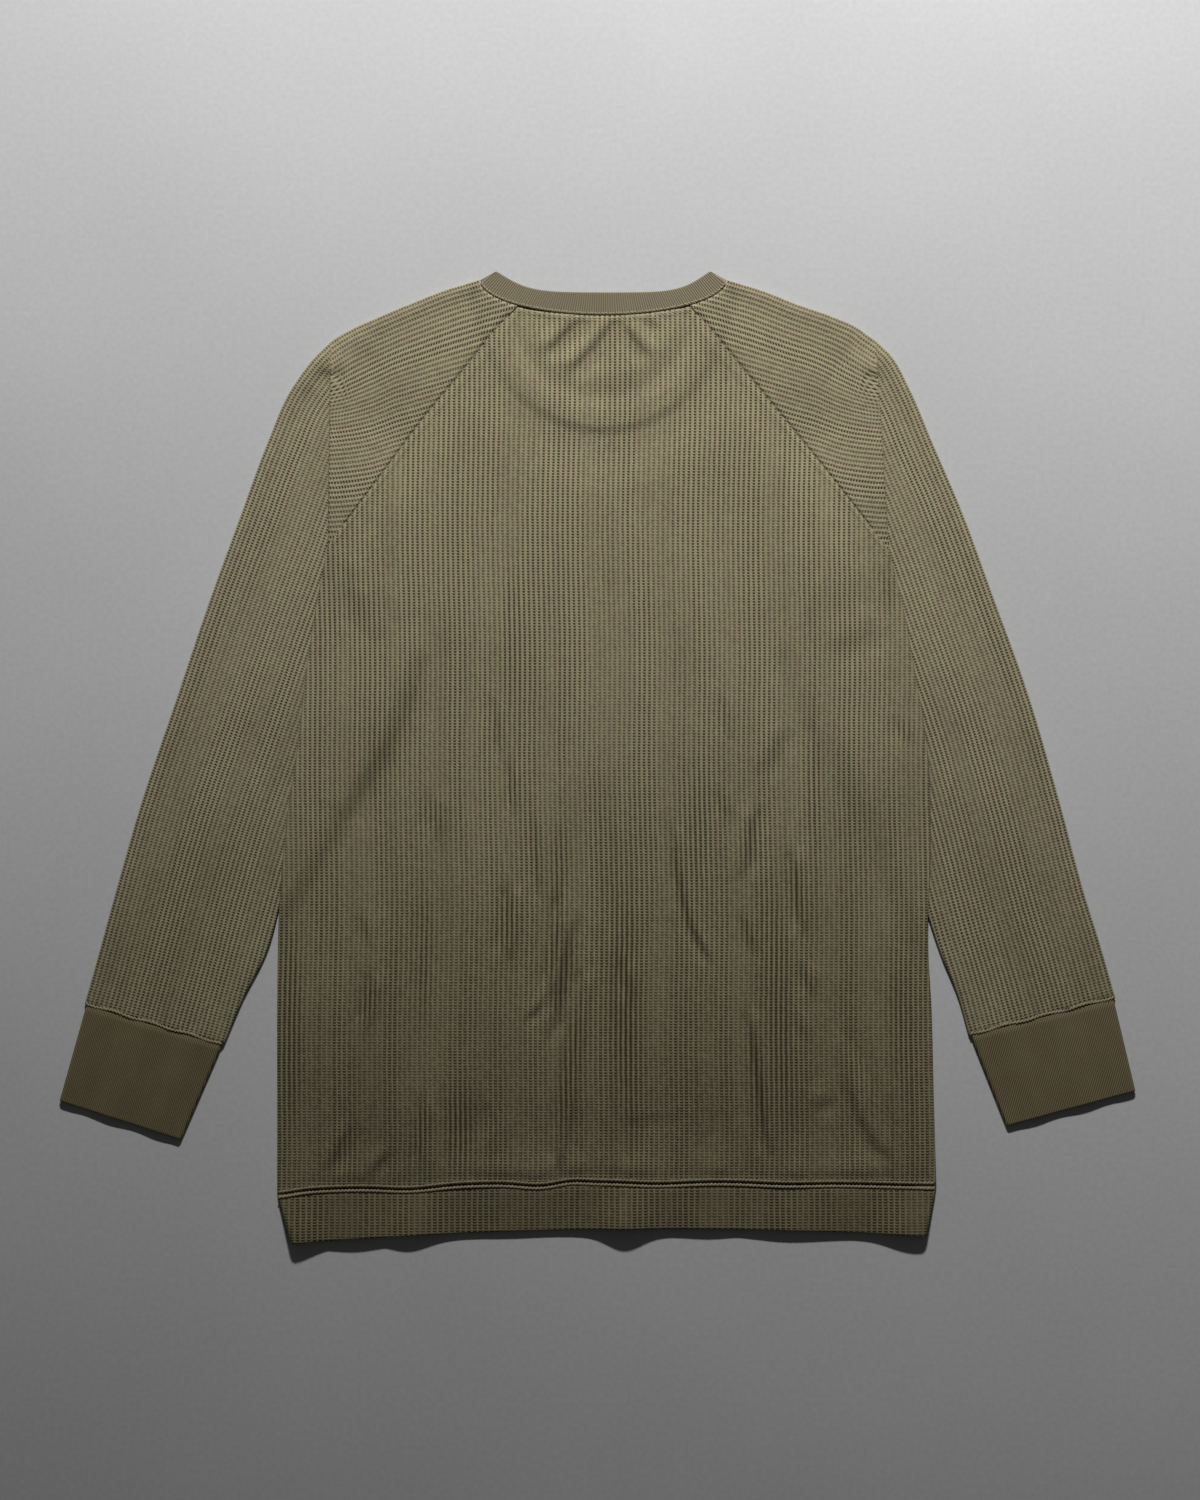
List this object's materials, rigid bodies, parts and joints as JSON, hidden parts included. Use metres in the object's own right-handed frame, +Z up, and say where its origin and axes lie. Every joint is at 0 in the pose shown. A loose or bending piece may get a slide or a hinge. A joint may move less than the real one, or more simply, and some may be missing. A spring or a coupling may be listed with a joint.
{
  "type": "thermal top",
  "caption": "Long-sleeved raglan thermal top in waffle knit with ribbed neck band and cuffs, laid flat with its back up and its arms turned down beside the body.",
  "frame": {"origin": "centre of the garment's plan, on the surface that it lies on", "axes": "+X to the right as seen from above with the neck up, +Y towards the neck, +Z up out of the surface, through the back"},
  "size_m": [0.86, 0.777, 0.0121],
  "materials": {
    "waffle_knit": "olive drab cotton waffle knit, pigment dyed, matt",
    "cuff_rib": "fine cotton rib, browner and darker olive, matt",
    "neck_rib": "fine cotton rib, olive drab, matt"
  },
  "bodies": {
    "root": {"back_panel": "waffle_knit", "front_panel": "waffle_knit", "sleeve_left": "waffle_knit", "sleeve_right": "waffle_knit", "hem_band": "waffle_knit", "cuff_left": "cuff_rib", "cuff_right": "cuff_rib", "neck_band": "neck_rib"}
  },
  "joints": []
}
